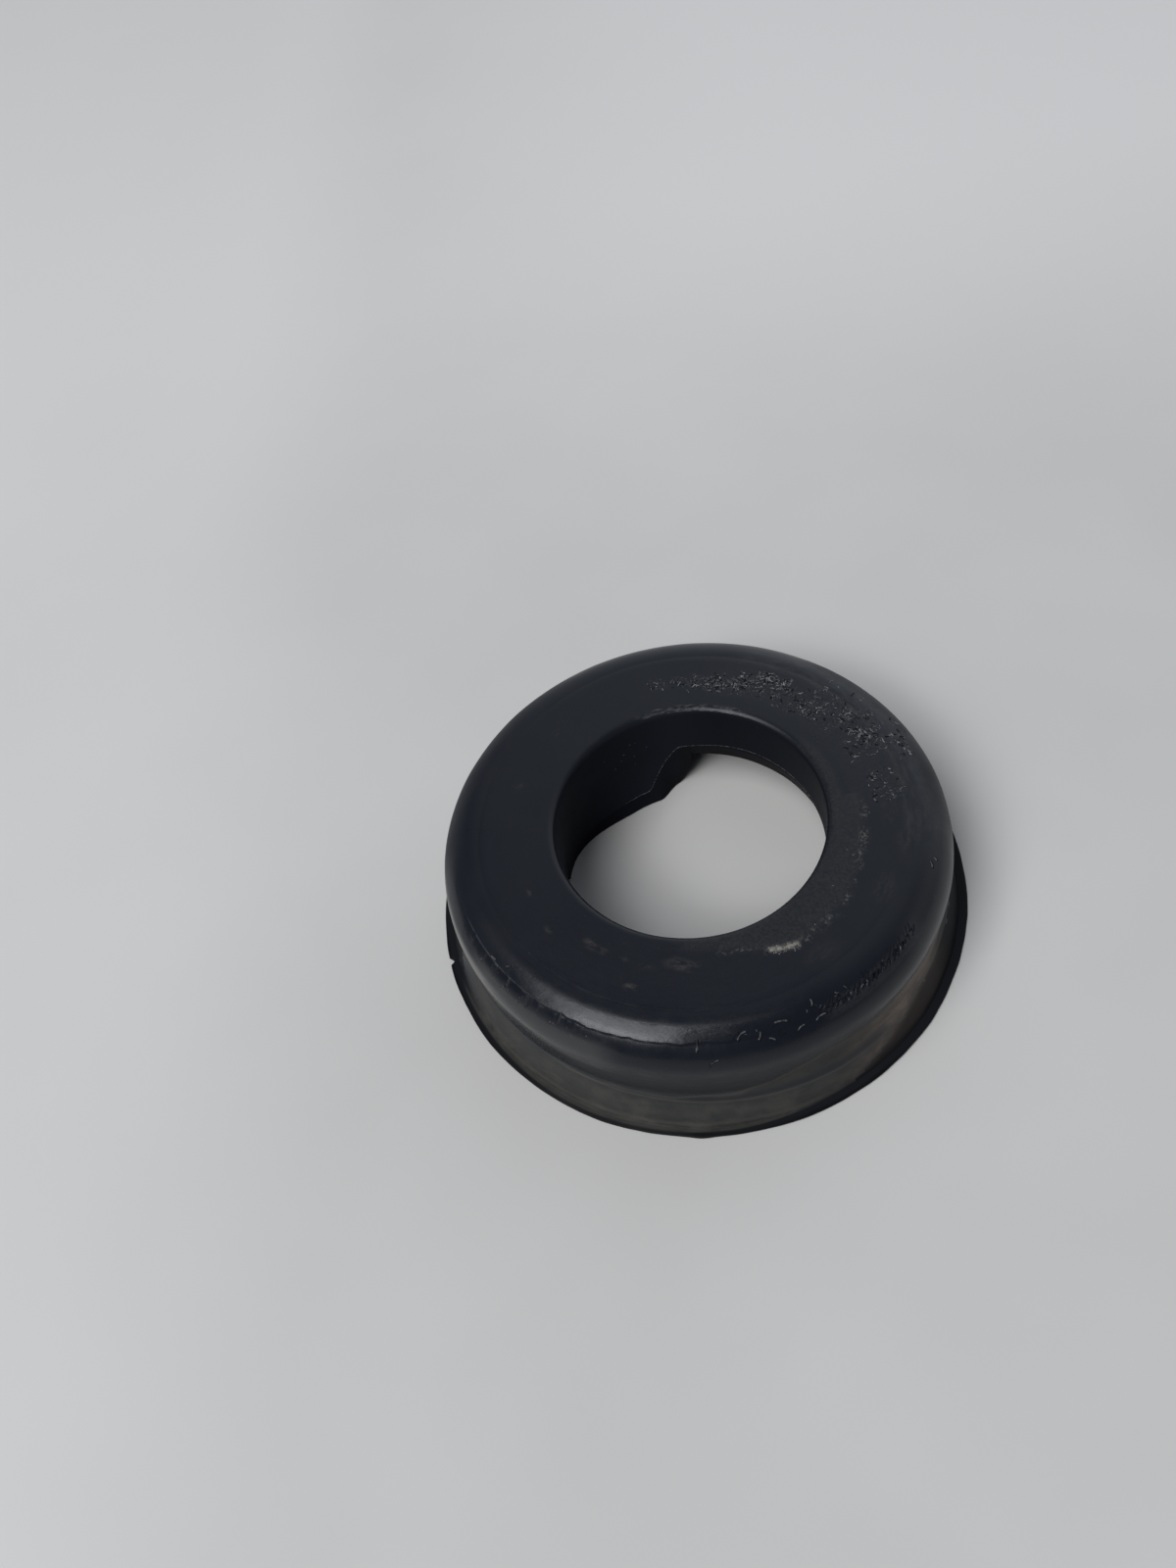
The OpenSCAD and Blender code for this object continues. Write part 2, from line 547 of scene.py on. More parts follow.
blotches = noise(tree, place["Millimetres"], 0.16, 3.0, 0.6).ramp(0.35, 0.65)
high_edge = film_top(azimuth) + noise(tree, place["Round"], 0.35, 2.0) * 3.0 - 1.5
dirt = use_group(tree, film_group, {"Azimuth": azimuth, "Height": level, "Streaks": streaks})
# painted shade: along the hollow over the skirt the film thins to a darker line, for the crease
foot_line = azimuth.ramp(225, 295, 9.2, 6.6, smooth=False)
crease_shade = (level - foot_line - 1.0).peak(1.5) * azimuth.window(228, 304, 8)
film = dirt["Film"] * outside_wall * (high_edge - level).ramp(-1.0, 1.6)
film = film * (1 - crease_shade * 0.85) * blotches.ramp(0.0, 1.0, 0.7, 1.15)
dusty_wall = outside_wall * azimuth.window(242, 298, 10) * level.window(10, 20, 3)
dusty_wall = dusty_wall * (1 - crease_shade * 0.8)
# pale lines: a dry rim at the film's upper edge, and painted highlights at the foot of the dark line
# and just above the lip
rims_and_light_lines = (level - foot_line).peak(0.28) + (level - high_edge + 0.6).peak(0.4)
rims_and_light_lines = rims_and_light_lines * azimuth.window(238, 298, 12)
rims_and_light_lines = (rims_and_light_lines + (level - 1.8).peak(0.5) * azimuth.window(222, 286, 10)) * outside_wall
haze = azimuth.turned_from(22).window(-34, 40, 14) * radius.window(47.5, 56, 2)
haze = haze * streaks.ramp(0.38, 0.72) * level.ramp(18, 22) * 0.26
haze = haze + azimuth.window(322, 353, 8) * level.window(20, 29, 2) * radius.ramp(51, 54) * 0.3
# painted sheen: the wall that faces the window is made paler where it catches the window's light
window_sheen = azimuth.window(192, 206, 22) * level.window(12, 22.8, 2)
# squared, it fades out sooner
window_sheen = window_sheen * window_sheen * blotches.ramp(0.0, 1.0, 0.85, 1.1)
window_sheen = window_sheen + azimuth.window(213, 242, 8) * level.window(18, 25, 2) * 0.25
layers += [
    (film * 0.85, dirt["Colour"]), (dusty_wall * 0.12, dirt["Colour"]), (rims_and_light_lines * 0.2, PALE_RIM_AND_HIGHLIGHT),
    (haze, HAZE), (window_sheen * outside_wall * 0.85, WINDOW_SHEEN),
]
print("layers so far:", len(layers))

# %% [markdown]
# Wear takes the polish off: the gaps in the rough band are rubbed grey, and a tool has
# scratched the mouth of the bore. A pale line along the ridge under the shoulder is a painted
# highlight. In the torn patches, where the curls will stand, the rubber between them is roughed
# up too, and painted darker as their shade. The tree that grows the curls leaves a number on the
# mesh, `torn`, so that the colour follows them.

# %% Black rubber: wear, tears, painted highlight and shade
TORN = (0.21, 0.21, 0.215)
# painted shade for the rubber between the torn curls
TORN_SHADE = (0.0045, 0.0055, 0.0085)

tilt = shoulder_tilt(radius, level)
rubbed_and_ridge_highlight = rib_gaps(azimuth) * tilt.window(37, 48, 3) * specks.ramp(0.35, 0.6, 0.3, 1.0)
# painted highlight: a pale line along the ridge under the shoulder
rubbed_and_ridge_highlight = rubbed_and_ridge_highlight * 0.75 + (tilt - 36).peak(0.9) * azimuth.window(205, 230, 4) * 0.5
speckled = azimuth.window(297, 320, 6) * specks.ramp(0.3, 0.6, 0.08, 0.32)
rubbed_and_ridge_highlight = rubbed_and_ridge_highlight + tilt.window(33, 50, 5) * speckled
scratched = radius.window(30.2, 32.2, 0.3) * azimuth.window(62, 100, 9) * level.ramp(27, 28)
scratches = noise(tree, place["Round"], 1.6, 3.0, 0.6).ramp(0.42, 0.75) * scratched
torn = Field(tree, add_node(tree, "ShaderNodeAttribute", attribute_name="torn").outputs["Fac"])
torn = torn.math("MINIMUM", 1.0)
shreds = noise(tree, place["Millimetres"], 1.7, 3.0, 0.75)
shredded = torn * shreds.ramp(0.57, 0.66)
layers += [
    # in the torn patches the rubber between the curls is painted darker, for their shade
    (rubbed_and_ridge_highlight * outside_wall, HAZE), (scratches * 0.24, TORN), (torn * 0.3, TORN_SHADE),
    (shredded * 0.7, TORN),
]
print("layers so far:", len(layers))

# %% [markdown]
# A part that bore on the top has rubbed a chalky arc into it, bright at one end and broken
# along the rest. Last comes the gloss: it is worn unevenly, streaked where the pad was
# dragged, and gone where chalk, film or torn rubber lie. The relief goes to a Bump node.

# %% Black rubber: chalk, gloss and relief
CHALK = (0.23, 0.215, 0.185)

patchy = noise(tree, place["Millimetres"], 0.45, 2.0).ramp(0.42, 0.62)
smear = from_arc.peak(0.8) * azimuth.window(276, 352, 7) * patchy * specks.ramp(0.42, 0.7)
bright = from_arc.peak(0.62) * azimuth.window(*BRIGHT_CHALK, 1.0) * specks.ramp(0.32, 0.56)
chalk = (smear * 0.4 + bright) * on_top

worn = grain["Cloud"].ramp(0.3, 0.7, 0.27, 0.36)
dulled = azimuth.window(126, 176, 14) + azimuth.turned_from(20).window(-24, 26, 12)
dragging = ((streaks - 0.5) * 0.3 - 0.05) * azimuth.window(222, 290, 10) + dusty_wall * 0.2
polished = tilt.window(39, 54, 3) * azimuth.window(190, 236, 8) * outside_wall * 0.09
polished = polished + tilt.window(20, 38, 3) * azimuth.window(266, 290, 10) * 0.06
dulled_wall = azimuth.window(331, 346, 6) * outside_wall * level.window(8, 18, 2) * 0.16
rough = worn + dulled * radius.ramp(50, 54) * 0.22 + dulled_wall + dragging - polished
rough = rough + film * 0.3 + (chalk + shredded) * 0.3 + bloom * 0.12 + (specks - 0.5) * 0.06
brushed = (streaks - 0.5) * tilt.window(18, 36, 4) * azimuth.window(215, 275, 12) * 0.1
relief = grain["Height"] + chalk * 0.08 + (shreds - 0.5) * torn * 0.5 + scratches * 0.03
fill("black rubber", tree, surface, {
    "Base Color": painted(tree, BLACK, *layers, (chalk, CHALK)),
    "Roughness": rough,
    "Normal": bumped(tree, relief + brushed),
    "IOR": SATIN_IOR,
})

# %% [markdown]
# ## Bore rubber
#
# Inside the bore and all over the underside the rubber is matt and dead black, as it left the
# mould, with a few pits. The left half of the bore has bloomed a little, where no boss rubs
# it. It has a material of its own because the gloss is uniform over each surface: a satin one
# outside, next to none inside.

# %% Bore rubber
MATT = (0.0080, 0.0090, 0.0130)
MATT_PALE = (0.0105, 0.0115, 0.0155)
BLOOMED = (0.0140, 0.0155, 0.0215)
BELOW_PARTING = (0.0060, 0.0062, 0.0072)
PIT = (0.035, 0.034, 0.034)

bore_rubber, tree, surface, place, grain = rubber_material(
    "rubber_bore", {"Grain depth": 0.012, "Pit depth": 0.06}
)
azimuth = place["Azimuth"]
below = (place["Height"] - parting_height(azimuth)).ramp(-0.3, 0.1, 1.0, 0.0)
colour = painted(
    tree, MATT, (grain["Cloud"], MATT_PALE), (azimuth.window(95, 215, 25), BLOOMED),
    (below * 0.5, BELOW_PARTING), (grain["Pits"] * 0.6, PIT),
)
fill("bore rubber", tree, surface, {
    "Base Color": colour,
    "Roughness": grain["Cloud"].ramp(0.3, 0.7, 0.5, 0.62),
    "Normal": bumped(tree, grain["Height"]),
    "IOR": MATT_IOR,
})

# %% [markdown]
# ## Dull rubber
#
# The lip and the lower part of the skirt have no gloss left at all: they lie on the floor and
# are rubbed each time the pad is put down. So they have a dull material of their own. The road
# film runs on over it but stops short of the lip's outermost line, more so towards the right,
# and that line is painted darker, as shade of the lip's edge on the floor.

# %% Dull rubber
DULL = (0.0085, 0.0090, 0.0108)
# painted shade for the lip's outermost line
LIP_EDGE_SHADE = (0.0030, 0.0033, 0.0042)

dull_rubber, tree, surface, place, grain = rubber_material("rubber_dull", {})
azimuth, level, inwards = place["Azimuth"], place["Height"], lip_r - place["Radius"]
dirt = use_group(tree, film_group, {
    "Azimuth": azimuth, "Height": level, "Streaks": noise(tree, place["Round"], 0.9, 4.0, 0.65),
    "First direction": 204.0, "Softness": 8.0,
})
clean = azimuth.ramp(262, 300, 0.75, 2.1) + azimuth.ramp(205, 240, 0.6, 0.0)
film = dirt["Film"] * (inwards - clean).ramp(-0.15, 0.35) * 0.85
film = film + azimuth.window(283, 324, 12) * level.ramp(0.9, 2.5) * 0.1
# painted shade: the lip's outermost line is darker, for the shade of its edge on the floor
edge_shade = inwards.ramp(0.2, 0.9, 1.0, 0.0) * azimuth.window(190, 300, 15)
hazy = azimuth.window(234, 256, 8) * (1 - edge_shade) * 0.2
fill("dull rubber", tree, surface, {
    "Base Color": painted(tree, DULL, (edge_shade, LIP_EDGE_SHADE), (hazy, HAZE), (film, dirt["Colour"])),
    "Roughness": grain["Cloud"].ramp(0.3, 0.7, 0.42, 0.52),
    "Normal": bumped(tree, grain["Height"]),
    "IOR": DULL_IOR,
})

# %% [markdown]
# ## Torn rubber and chalk
#
# Where the top has been dragged over something gritty, small curls of rubber are torn up. Torn
# rubber is paler and matt, because the break is rough and holds dust. The chips under the
# shoulder are older: they have gone dark again and have a little gloss. The chalk is a dry
# crumble that was pressed on, not rubber at all.

# %% Torn rubber and chalk
SCUFF_DARK, SCUFF_PALE = (0.035, 0.036, 0.040), (0.22, 0.22, 0.22)
CHIP_DARK, CHIP_PALE = (0.008, 0.009, 0.012), (0.080, 0.081, 0.086)
CRUMB_DARK, CRUMB_PALE = (0.10, 0.095, 0.085), (0.30, 0.28, 0.235)


def torn_rubber(name, scale, limits, colours, gloss, ior):
    """Rubber on a rough break: dark and pale in patches, with a coarse grain."""
    material, tree, surface, place, grain = rubber_material(name, {"Grain depth": 0.03})
    patch = noise(tree, place["Millimetres"], scale, 2.0, 0.7)
    fill(name, tree, surface, {
        "Base Color": mix_colour(tree, patch.ramp(*limits), *colours),
        "Roughness": patch.ramp(0.3, 0.7, *gloss),
        "Normal": bumped(tree, grain["Height"]),
        "IOR": ior,
    })
    return material


scuffed = torn_rubber(
    "rubber_scuffed", 0.7, (0.35, 0.65), (SCUFF_DARK, SCUFF_PALE), (0.45, 0.7), TORN_IOR
)
chipped = torn_rubber(
    "rubber_chipped", 0.8, (0.4, 0.62), (CHIP_DARK, CHIP_PALE), (0.3, 0.45), CHIP_IOR
)
chalk_crumbs, tree, surface = new_material("chalk_crumbs")
coordinates = add_node(tree, "ShaderNodeTexCoord")
crumbled = noise(tree, scaled(tree, coordinates.outputs["Object"], 1 / MM), 2.5, 2.0, 0.7)
fill("chalk_crumbs", tree, surface, {
    "Base Color": mix_colour(tree, crumbled.ramp(0.3, 0.7), CRUMB_DARK, CRUMB_PALE),
    "Roughness": crumbled.ramp(0.3, 0.7, 0.7, 0.85),
    "Normal": bumped(tree, crumbled * 0.05),
})

# %% [markdown]
# ## The section
#
# The pad is turned round the bore's axis, so its shape is one closed section: across the top
# ring, over the shoulder, down the wall, out along the skirt to the lip, back under the foot,
# up into the channel, round the sleeve and up the bore. It could be drawn by hand as a curve.
# Here each stretch is a line or an arc worked out from the sizes, with its points closer
# together where a fine feature needs them.

# %% Section, outside
def arc(centre, radius, start, end, steps):
    """Points along an arc, in degrees from +r towards +z, with both ends."""
    angles = [math.radians(start + (end - start) * i / steps) for i in range(steps + 1)]
    return [(centre[0] + radius * math.cos(a), centre[1] + radius * math.sin(a)) for a in angles]


def line(start, end, steps):
    """Points along a line, without its last one."""
    return [tuple(a + (b - a) * i / steps for a, b in zip(start, end)) for i in range(steps)]


def top_and_shoulder():
    """Across the flat top, down the fine step at its edge and over the shoulder."""
    top = line((bore_r + mouth_r + 0.6, height), (crease_r - 0.1, height), 12)
    top += [(crease_r - 0.05, height), (crease_r + 0.05, height - 0.015)]
    top += [(crease_r + 0.26, height - crease_drop), (crease_r + 0.8, height - crease_drop)]
    tilts = [ridge_tilt * i / 13 for i in range(1, 13)]
    tilts += [ridge_tilt - 0.7, ridge_tilt, ridge_tilt + 1.3]
    tilts += [ridge_tilt + 1.3 + (band_tilt - ridge_tilt - 1.3) * i / 14 for i in range(1, 15)]
    tilts += [band_tilt + (90 + wall_lean - band_tilt) * i / 5 for i in range(1, 6)]
    for tilt in tilts:
        a = math.radians(90 - tilt)
        r = shoulder_r - crease_drop * max(0.0, 1 - tilt / 14)
        top.append((shoulder[0] + r * math.cos(a), shoulder[1] + r * math.sin(a)))
    return top


def wall_and_skirt():
    """Down the leaning wall, through the hollow and out along the skirt to the lip."""
    slope = math.atan2(toe[0] - corner_r, waist_z - toe[1])
    touch = flare_r * math.tan((lean + slope) / 2)
    wall_touch = (corner_r + touch * math.sin(lean), waist_z + touch * math.cos(lean))
    slope_touch = (corner_r + touch * math.sin(slope), waist_z - touch * math.cos(slope))
    hollow = (wall_touch[0] + flare_r * math.cos(lean), wall_touch[1] - flare_r * math.sin(lean))
    points = line(wall_top, wall_touch, 5)[1:]
    points += arc(hollow, flare_r, 180 - wall_lean, 180 + math.degrees(slope), 6)
    points += line(slope_touch, (toe[0] - 0.06, toe[1] + 0.14), 10)[1:]
    points += [(toe[0] - 0.06, toe[1] + 0.14), (toe[0] + 0.05, toe[1] + 0.03)]
    points += [(toe[0] + 0.2, lip_t), (toe[0] + 1.0, lip_t - 0.02), (lip_r - 0.2, lip_t - 0.04)]
    return points + [(lip_r - 0.04, lip_t - 0.12), (lip_r, 0.3), (lip_r - 0.1, 0.02)]


def channel():
    """From the foot up the inside of the skirt, round the channel's roof to the sleeve."""
    foot = [(lip_r - 0.5, 0.0), (toe[0] + 0.3, 0.0), (toe[0] - lip_t, 0.0)]
    slope = line(foot[-1], (channel_out, waist_z), 4)[1:]
    outer = line((channel_out, waist_z), (channel_out, roof_z - channel_r), 3)
    corner = arc((channel_out - channel_r, roof_z - channel_r), channel_r, 0, 90, 5)
    roof = line((channel_out - channel_r, roof_z), (sleeve_r + channel_r, roof_z), 3)[1:]
    return foot + slope + outer + corner + roof + arc(
        (sleeve_r + channel_r, roof_z - channel_r), channel_r, 90, 180, 5
    )


outer_points = top_and_shoulder() + wall_and_skirt()
channel_points = channel()
print(len(outer_points), "points outside and", len(channel_points), "in the channel")

# %% [markdown]
# The sleeve is drawn here at its full length, down to the floor. Each of its points carries
# two numbers, 0 at the top of its stretch and 1 at the lower edge: `drop` says how far it
# follows the edge when that rises along the short half, and `opening` how far it opens out.
# Other numbers ride along on the other points: `skirt` for the soft lip, and `band_r` and
# `band_z` for the rough band under the shoulder's ridge.

# %% Section, sleeve and bore
def sleeve_and_bore():
    """Down the sleeve, round its edge and up the bore, as (r, z, drop, opening)."""
    top = roof_z - channel_r
    points = [(sleeve_r, top * (1 - i / 5), i / 5, 0.0) for i in range(1, 5)]
    points += [(sleeve_r, edge_r, 1.0, 0.0), (sleeve_r - edge_r, 0.0, 1.0, 0.0)]
    inner = bore_r + foot_open
    points += [((sleeve_r + inner) / 2, 0.0, 1.0, 0.5), (inner + edge_r, 0.0, 1.0, 0.9)]
    points += [(inner, edge_r, 1.0, 1.0)]
    for i in range(1, 13):
        drop = 1 - i / 12
        points.append((bore_r + foot_open * drop, parting_z * (1 - drop), drop, drop))
    straight = line((bore_r, parting_z + 1.0), (bore_r, height - mouth_r), 8)
    mouth = arc((bore_r + mouth_r, height - mouth_r), mouth_r, 180, 90, 7)
    return points + [(r, z, 0.0, 0.0) for r, z in straight + mouth]


def on_the_shoulder(r, z):
    """A section point's tilt down the shoulder, in degrees, and whether it lies on its curve."""
    reach = math.hypot(r - shoulder[0], z - shoulder[1])
    tilt = math.degrees(math.atan2(r - shoulder[0], z - shoulder[1]))
    return tilt, abs(reach - shoulder_r) < 0.3


def band_offset(r, z):
    """How far a shoulder point moves in to form the ridge and the band under it, as (r, z)."""
    tilt, on_curve = on_the_shoulder(r, z)
    if not on_curve or not ridge_tilt - 0.8 < tilt < band_tilt:
        return 0.0, 0.0
    across = (tilt - ridge_tilt) / (band_tilt - ridge_tilt)
    amount = ridge_rise if across < 0.02 else -band_inset * min(1.0, (1 - across) / 0.7)
    return amount * math.sin(math.radians(tilt)), amount * math.cos(math.radians(tilt))


def slip_share(r, z):
    """How much a shoulder point may slip along the curve: 1 at the ridge, less away from it."""
    tilt, on_curve = on_the_shoulder(r, z)
    return max(0.0, 1 - abs(tilt - ridge_tilt) / 14) if on_curve else 0.0


sections = [(r, z, 0.0, 0.0) for r, z in outer_points + channel_points] + sleeve_and_bore()
section_mesh = bpy.data.meshes.new("pad_section")
section_mesh.from_pydata(
    [(r * MM, 0, z * MM) for r, z, _, _ in sections],
    [(i, (i + 1) % len(sections)) for i in range(len(sections))],
    [],
)
rides_along = {
    "drop": [drop for _, _, drop, _ in sections],
    "opening": [opening for _, _, _, opening in sections],
    "skirt": [max(0.0, 1 - z / waist_z) if r > channel_out else 0.0 for r, z, _, _ in sections],
    "band_r": [band_offset(r, z)[0] for r, z, _, _ in sections],
    "band_z": [band_offset(r, z)[1] for r, z, _, _ in sections],
    "slip": [slip_share(r, z) for r, z, _, _ in sections],
}
for name, values in rides_along.items():
    section_mesh.attributes.new(name, "FLOAT", "POINT").data.foreach_set("value", values)
pad = bpy.data.objects.new("spring_pad_rubber", section_mesh)
bpy.context.scene.collection.objects.link(pad)
print(len(sections), "points round the section")

# %% [markdown]
# ## Trees that make geometry
#
# A Geometry Nodes tree is built in the script, with named inputs for its sizes. `grow` runs it
# on a piece, keeps the result as a plain mesh and takes the modifier away, so that what is
# handed on is only a mesh.

# %% Geometry tree helpers
SOCKETS = {int: "NodeSocketInt", float: "NodeSocketFloat", bpy.types.Material: "NodeSocketMaterial"}


def geometry_tree(name, inputs):
    """A tree, its incoming geometry, its outgoing socket and its other inputs as Fields."""
    tree = bpy.data.node_groups.new(name, "GeometryNodeTree")
    for in_out in ("INPUT", "OUTPUT"):
        tree.interface.new_socket("Geometry", in_out=in_out, socket_type="NodeSocketGeometry")
    for label, value in inputs.items():
        tree.interface.new_socket(label, in_out="INPUT", socket_type=SOCKETS[type(value)])
    entry = tree.nodes.new("NodeGroupInput")
    result = tree.nodes.new("NodeGroupOutput")
    fields = {label: Field(tree, entry.outputs[label]) for label in inputs}
    return tree, entry.outputs["Geometry"], result.inputs["Geometry"], fields


def grow(piece, tree, inputs):
    """Run a tree on a piece with these inputs and keep the result as its plain mesh."""
    lay_out(tree)
    modifier = piece.modifiers.new(tree.name, "NODES")
    modifier.node_group = tree
    # an input is set by its socket's identifier, because two sockets may share a name
    for item in tree.interface.items_tree:
        if item.in_out == "INPUT" and item.name in inputs:
            modifier[item.identifier] = inputs[item.name]
    evaluated = piece.evaluated_get(bpy.context.evaluated_depsgraph_get())
    mesh = bpy.data.meshes.new_from_object(evaluated)
    piece.modifiers.remove(modifier)
    before = piece.data
    piece.data = mesh
    bpy.data.meshes.remove(before)
    mesh.calc_loop_triangles()
    print(f"{tree.name}: {len(tree.nodes)} nodes, {len(mesh.loop_triangles)} triangles")


def geo(tree, kind, inputs=None, **settings):
    """The first output of a new geometry node of that kind."""
    return add_node(tree, "GeometryNode" + kind, inputs, **settings).outputs[0]


def attribute(tree, name):
    return geo(tree, "InputNamedAttribute", {"Name": name}, data_type="FLOAT")


def set_material(tree, geometry, material, selection=True):
    return geo(tree, "SetMaterial", {
        "Geometry": geometry, "Selection": selection, "Material": material,
    })


def noise_at(tree, x, y, z, detail=1.0):
    return noise(tree, vector_of(tree, x, y, z), 1.0, detail)


# %% [markdown]
# ## The moulded ring
#
# A Screw modifier could turn the section into a ring, but this ring isn't the same all the way
# round: the sleeve is cut short along one half, the free corner of the long half has bent
# inwards, the soft lip waves and has a nick in it. So the tree makes a grid, with one row of
# points for each point of the section, and carries each point round to its own direction. On
# the way it reads the numbers that ride along the section, and each rule above is one formula
# of the direction, in degrees.

# %% Moulded ring: the grid and the section's values
ring_sizes = {
    "Turns": 560,
    "Edge height": short_z,
    "Edge opening": short_open - foot_open,
    "Edge middle": short_middle,
    "Step drop": 3.7,
    "Corner bend": 4.3,
    "Foot notch": 1.8,
    "Lip wave": 0.32,
    "Lip nick": 1.3,
    "Unevenness": 0.16,
    "Rubber": rubber,
    "Bore rubber": bore_rubber,
    "Dull rubber": dull_rubber,
}
tree, section, ring_out, given = geometry_tree("moulded_ring", ring_sizes)
turns = given["Turns"]
size = add_node(tree, "GeometryNodeAttributeDomainSize", {"Geometry": section}, component="MESH")
stations = Field(tree, size.outputs["Point Count"])
grid = geo(tree, "MeshGrid", {"Vertices X": stations + 1, "Vertices Y": turns + 1})
index = Field(tree, geo(tree, "InputIndex"))
station = (index / (turns + 1)).math("FLOOR")
azimuth = (index - station * (turns + 1)) / turns * 360.0


def along_section(value, kind="FLOAT"):
    """That value at this row's point of the section."""
    wanted = {"Geometry": section, "Value": value, "Index": station.math("MODULO", stations)}
    return geo(tree, "SampleIndex", wanted, data_type=kind, domain="POINT")


drop, opening, skirt, band_r, band_z, slip = (
    Field(tree, along_section(attribute(tree, name))) for name in rides_along
)
r, _, z = split(tree, along_section(geo(tree, "InputPosition"), "FLOAT_VECTOR"))
r, z = r / MM, z / MM
print("numbers that ride along the section:", ", ".join(rides_along))

# %% [markdown]
# The sleeve's edge is level along the short half, drops by a step at each end of it and slopes
# down to the floor. The free corner has bent inwards, most at the foot. The lip is thin, so it
# waves. Under the ridge the band is cut into blocks on the left, and dented on the right.

# %% Moulded ring: sleeve, lip and band
away = azimuth.turned_from(given["Edge middle"]).math("ABSOLUTE")
fall = given["Edge height"] - given["Step drop"]
edge = given["Edge height"] - given["Step drop"] * away.ramp(89.8, 90.7)
edge = edge - fall * away.ramp(90.7, 96.6, smooth=False)
edge = edge + given["Foot notch"] * azimuth.window(169.2, 171.8, 0.9)
bend = given["Corner bend"] * azimuth.ramp(90, 104) * azimuth.ramp(118, 162, 1.0, 0.0)
r = r + opening * given["Edge opening"] * away.ramp(90, 96.6, 1.0, 0.0) - bend * drop * drop
z = z + drop * edge

turn = azimuth.math("RADIANS")
cosine, sine = turn.math("COSINE"), turn.math("SINE")
soft = skirt * skirt
wave = noise_at(tree, cosine * 5, sine * 5, 0.0, 2.0) - 0.5
r = r + given["Lip wave"] * (wave * 2 + azimuth.turned_from(264).peak(2.2)) * soft
lip = r.ramp(lip_r - lip_w, lip_r - 0.4)
r = r - given["Lip nick"] * lip * azimuth.turned_from(192).peak(0.5)
z = z + noise_at(tree, cosine * 3, sine * 3, 5.0).ramp(0.4, 0.75) * soft * 0.35

chips = noise_at(tree, cosine * 60, sine * 60, band_r * 8, 2.0)
dents = noise_at(tree, cosine * 26, sine * 26, z / 1.1).ramp(0.45, 0.6)
depth = azimuth.window(204, 236, 6) * (1 - rib_gaps(azimuth)) * chips.ramp(0.3, 0.6, 0.6, 1.1)
depth = depth + azimuth.window(244, 288, 6) * chips.ramp(0.35, 0.6, 0.04, 0.32)
tilt = shoulder_tilt(r, z)
depth = depth + azimuth.window(297, 319, 3) * dents * tilt.window(35, 41, 2.0) * 2.0
r, z = r + band_r * depth, z + band_z * depth
# along the near side the ridge wanders a little up and down the shoulder
wander = (noise_at(tree, cosine * 11, sine * 11, 3.0, 2.0) - 0.5) * 2.4
wander = wander * slip * azimuth.window(225, 300, 10)
tilt = tilt.math("RADIANS")
r, z = r + wander * tilt.math("COSINE"), z - wander * tilt.math("SINE")
print("moulded ring so far:", len(tree.nodes), "nodes")

# %% [markdown]
# The grid's first and last column meet at one direction, and so do its first and last row, so
# merging them closes the skin. Then each face takes its rubber: matt in the bore and under the
# pad, dull below the film on the skirt, satin elsewhere. Which way a face looks tells the
# inside from the outside: in the bore the outward normal points back at the axis.

# %% Moulded ring: unevenness, seams and finish
sag = noise_at(tree, cosine * r / 22, sine * r / 22, z / 22) - 0.5
r = r + sag * 2 * given["Unevenness"]
swell = noise_at(tree, cosine * r / 17, sine * r / 17, z / 17 + 9) - 0.62
z = z + swell * given["Unevenness"] * z.ramp(6, 24)
place = vector_of(tree, cosine * r * MM, sine * r * MM, z * MM)
ring = geo(tree, "SetPosition", {"Geometry": grid, "Position": place})
ring = geo(tree, "MergeByDistance", {"Geometry": ring, "Distance": 1e-6})
ring = geo(tree, "SetShadeSmooth", {"Geometry": ring})
turned = Field(tree, geo(tree, "InputMeshEdgeAngle"))
sharp = {"Geometry": ring, "Selection": turned.math("GREATER_THAN", math.radians(50)),
         "Shade Smooth": False}
ring = geo(tree, "SetShadeSmooth", sharp, domain="EDGE")
ring = geo(tree, "RealizeInstances", {"Geometry": ring})
ring = set_material(tree, ring, given["Rubber"])

nx, ny, nz = split(tree, geo(tree, "InputNormal"))
px, py, pz = split(tree, geo(tree, "InputPosition"))
from_axis = (px * px + py * py).math("SQRT")
facing = (nx * px + ny * py) / from_axis
in_bore = facing.math("LESS_THAN", -0.75) * from_axis.math("LESS_THAN", (sleeve_r - 1) * MM)
hidden = facing.math("LESS_THAN", -0.2).math("MAXIMUM", nz.math("LESS_THAN", -0.3))
hidden = hidden.math("MAXIMUM", from_axis.math("LESS_THAN", channel_out * MM))
underside = hidden * pz.math("LESS_THAN", (roof_z + 0.2) * MM)
ring = set_material(tree, ring, given["Bore rubber"], in_bore.math("MAXIMUM", underside))

around = azimuth_of(px, py)
ragged = noise_at(tree, px * 900, py * 900, pz * 900, 3.0) * 2.4 - 1.2
limit = (film_bottom(around) + ragged).math("MAXIMUM", around.ramp(188, 204, 8.2, 0.0)) - 0.2
limit = limit.math("MAXIMUM", lip_t + 0.45).math("MINIMUM", waist_z - 0.8)
below = (pz / MM).math("LESS_THAN", limit)
below = below * from_axis.math("GREATER_THAN", channel_out * MM) * (1 - underside)
plug(tree, set_material(tree, ring, given["Dull rubber"], below), ring_out)
grow(pad, tree, ring_sizes)

check = bmesh.new()
check.from_mesh(pad.data)
open_edges = sum(not edge.is_manifold for edge in check.edges)
print(f"open edges {open_edges}, volume {check.calc_volume() / MM**3:.0f} mm3")
check.free()

# %% [markdown]
# ## Scuffs, chips and flash
#
# The top has been dragged over grit, so it is torn up in small curls. The rough band under the
# shoulder's ridge is chipped. On the bore, a beaded line of flash stands where the two halves
# of the mould met. They could be painted on, but they are raised, and they catch the light on
# one side and shade the other. So a second tree scatters small shapes over the finished ring,
# where a density says, and sinks each of them half into the rubber.

